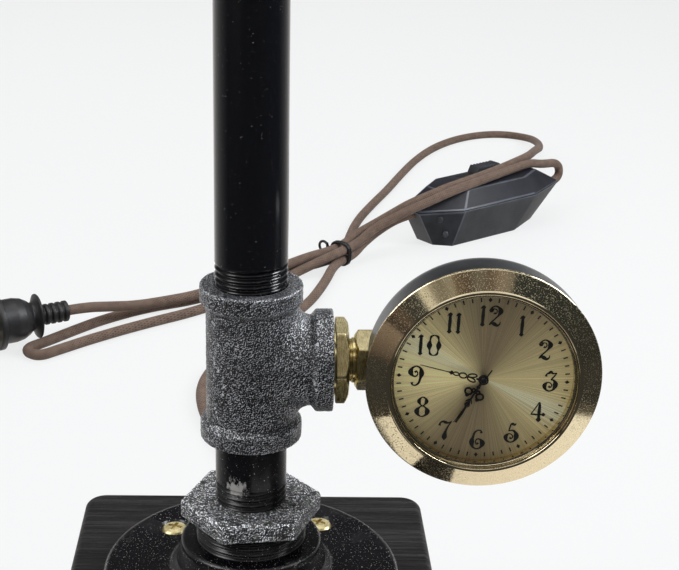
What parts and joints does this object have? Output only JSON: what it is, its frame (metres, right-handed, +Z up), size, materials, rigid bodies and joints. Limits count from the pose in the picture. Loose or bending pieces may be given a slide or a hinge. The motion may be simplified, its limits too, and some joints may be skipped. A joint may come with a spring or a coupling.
{
  "type": "industrial pipe table lamp",
  "caption": "Table lamp built from threaded iron pipe fittings on a square wood base, with a round clock on the side branch, a swinging arm, a tilting bulb socket and a corded slide dimmer.",
  "frame": {"origin": "centre of the underside of the base pad, on the axis of the riser pipe", "axes": "+X towards the clock on the side branch, -Y the way the clock faces, +Z up; the cord leaves the base towards +Y"},
  "size_m": [0.3514, 0.756, 0.5094],
  "materials": {
    "black_wood": "black stained, open grain",
    "felt": "dense felt",
    "black_pipe": "glossy black",
    "malleable_iron": "rough cast, dark grey",
    "brass": "machined satin brass",
    "screw_brass": "aged brass",
    "cover_steel": "black enamel",
    "steel": "plain steel",
    "case_metal": "satin dark grey",
    "bezel_metal": "polished",
    "crystal": "clear",
    "dial_metal": "sunburst brushed, printed black",
    "hand_paint": "gloss black",
    "gasket": "soft",
    "insert_plastic": "white",
    "movement_plastic": "black",
    "board_green": "circuit board",
    "copper": "enamelled copper",
    "knob_plastic": "white",
    "socket_plastic": "moulded black",
    "cap_metal": "rolled thread",
    "bulb_glass": "amber tinted",
    "clear_glass": "clear",
    "filament": "phosphor coated rods",
    "wire_black": "insulated wire",
    "connector_orange": "wire connector",
    "cord_fabric": "brown braid",
    "black_plastic": "fine matt"
  },
  "bodies": {
    "lamp_base": {"base_pad": "felt", "base_block": "black_wood", "base_cover": "cover_steel", "cover_screws": "steel", "cord_gland": "black_plastic", "wire_connectors": "connector_orange", "cord_cores": "wire_black", "lower_wires": "wire_black", "floor_flange": "black_pipe", "flange_screws": "screw_brass", "hex_bushing": "malleable_iron", "lower_nipple": "black_pipe", "pipe_tee": "malleable_iron", "riser_pipe": "black_pipe", "brass_bushing": "brass", "cord_lamp_side": "cord_fabric", "cord_plug_side": "cord_fabric", "twist_tie": "black_plastic", "dimmer_low_shell": "black_plastic", "dimmer_top_shell": "black_plastic", "dimmer_board": "board_green", "dimmer_screws": "steel", "plug_body": "black_plastic", "plug_blades": "brass"},
    "clock": {"brass_adapter": "brass", "clock_case": "case_metal"},
    "clock_insert": {"clock_bezel": "bezel_metal", "clock_crystal": "crystal", "clock_dial": "dial_metal", "insert_body": "insert_plastic", "insert_gasket": "gasket", "movement_housing": "movement_plastic", "movement_lid": "movement_plastic", "movement_battery": "steel", "movement_coil": "copper", "movement_board": "board_green"},
    "hour": {"hour_hand": "hand_paint"},
    "minute": {"minute_hand": "hand_paint"},
    "second": {"second_hand": "hand_paint", "hand_arbor": "steel"},
    "knob": {"setting_knob": "knob_plastic"},
    "arm": {"upper_elbow": "malleable_iron", "arm_nipple": "black_pipe", "arm_wires": "wire_black"},
    "head": {"head_elbow": "malleable_iron", "head_nipple": "black_pipe", "socket_cup": "malleable_iron", "lamp_socket": "socket_plastic", "socket_ring": "socket_plastic", "screw_shell": "brass", "centre_contact": "brass", "head_wires": "wire_black"},
    "bulb": {"bulb_cap": "cap_metal", "bulb_glass": "bulb_glass", "bulb_stem": "clear_glass", "bulb_filament": "filament"},
    "slider": {"dimmer_slider": "black_plastic"}
  },
  "joints": [
    {"name": "clock_tilt", "type": "hinge", "parent": "lamp_base", "child": "clock", "pos_m": [0.0285, 0, 0.1158], "axis": [1, 0, 0], "range_deg": [-30, 30]},
    {"name": "insert_pull", "type": "slide", "parent": "clock", "child": "clock_insert", "axis": [0, -1, 0], "range_m": [0, 0.025]},
    {"name": "minute_turn", "type": "hinge", "parent": "clock_insert", "child": "minute", "pos_m": [0.06656, 0, 0.1158], "axis": [0, 1, 0], "continuous": true},
    {"name": "hour_turn", "type": "hinge", "parent": "clock_insert", "child": "hour", "pos_m": [0.06656, 0, 0.1158], "axis": [0, 1, 0], "continuous": true},
    {"name": "second_turn", "type": "hinge", "parent": "clock_insert", "child": "second", "pos_m": [0.06656, 0, 0.1158], "axis": [0, 1, 0], "continuous": true},
    {"name": "knob_turn", "type": "hinge", "parent": "clock_insert", "child": "knob", "pos_m": [0.06691, 0, 0.12479], "axis": [0, 1, 0], "continuous": true},
    {"name": "arm_swivel", "type": "hinge", "parent": "lamp_base", "child": "arm", "pos_m": [0, 0, 0.312], "axis": [0, 0, 1], "range_deg": [-160, 160]},
    {"name": "head_tilt", "type": "hinge", "parent": "arm", "child": "head", "pos_m": [-0.064, 0, 0.324], "axis": [1, 0, 0], "range_deg": [-110, 110]},
    {"name": "bulb_turn", "type": "hinge", "parent": "head", "child": "bulb", "pos_m": [-0.088, 0, 0.39], "axis": [0, 0, 1], "range_deg": [0, 1080]},
    {"name": "dimmer_slide", "type": "slide", "parent": "lamp_base", "child": "slider", "axis": [0.8039, 0.5948, 0], "range_m": [-0.02, 0.002]}
  ],
  "couplings": [
    {"joint": "hour_turn", "follows": "minute_turn", "ratio": 0.083333},
    {"joint": "knob_turn", "follows": "minute_turn", "ratio": -1}
  ]
}
